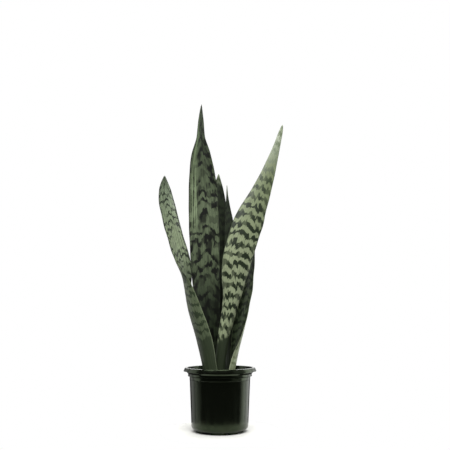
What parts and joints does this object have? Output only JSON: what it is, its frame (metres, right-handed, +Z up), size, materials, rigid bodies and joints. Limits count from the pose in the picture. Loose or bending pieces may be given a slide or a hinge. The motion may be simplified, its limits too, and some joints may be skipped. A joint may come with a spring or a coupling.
{
  "type": "potted snake plant",
  "caption": "Upright snake plant with sword-shaped, cross-banded leaves rising from a rhizome in potting mix, in a thin black plastic nursery pot with a turned-down lip.",
  "frame": {"origin": "on the pot's axis, at the level of the surface that the feet stand on; the leaves spread evenly enough to each side that this is also the bottom centre of the bounding box, within 2.5 mm", "axes": "+Z up along the pot's axis; -Y is the front, where the broadest leaf shows its outer face; +X is to the right seen from the front"},
  "size_m": [0.2735, 0.152, 0.7071],
  "materials": {
    "pot_plastic": "black moulded polypropylene, satin, with fine turning and moulding marks",
    "potting_mix": "rough dark peat and composted bark fibre with pale perlite grains",
    "rhizome_skin": "matt fibrous orange-tan skin with ring scars",
    "leaf_pale": "leathery, waxy satin; pale grey-green with dark zigzag cross bands and fine lengthwise streaks",
    "leaf_dark": "leathery, waxy satin; deep green with near-black cross bands and pale lengthwise flecks"
  },
  "bodies": {
    "root": {"pot": "pot_plastic", "potting_mix": "potting_mix", "rhizome": "rhizome_skin", "leaf_left": "leaf_pale", "leaf_front": "leaf_pale", "leaf_tall": "leaf_dark", "leaf_back": "leaf_dark", "leaf_inner": "leaf_dark", "leaf_right": "leaf_dark"}
  },
  "joints": []
}
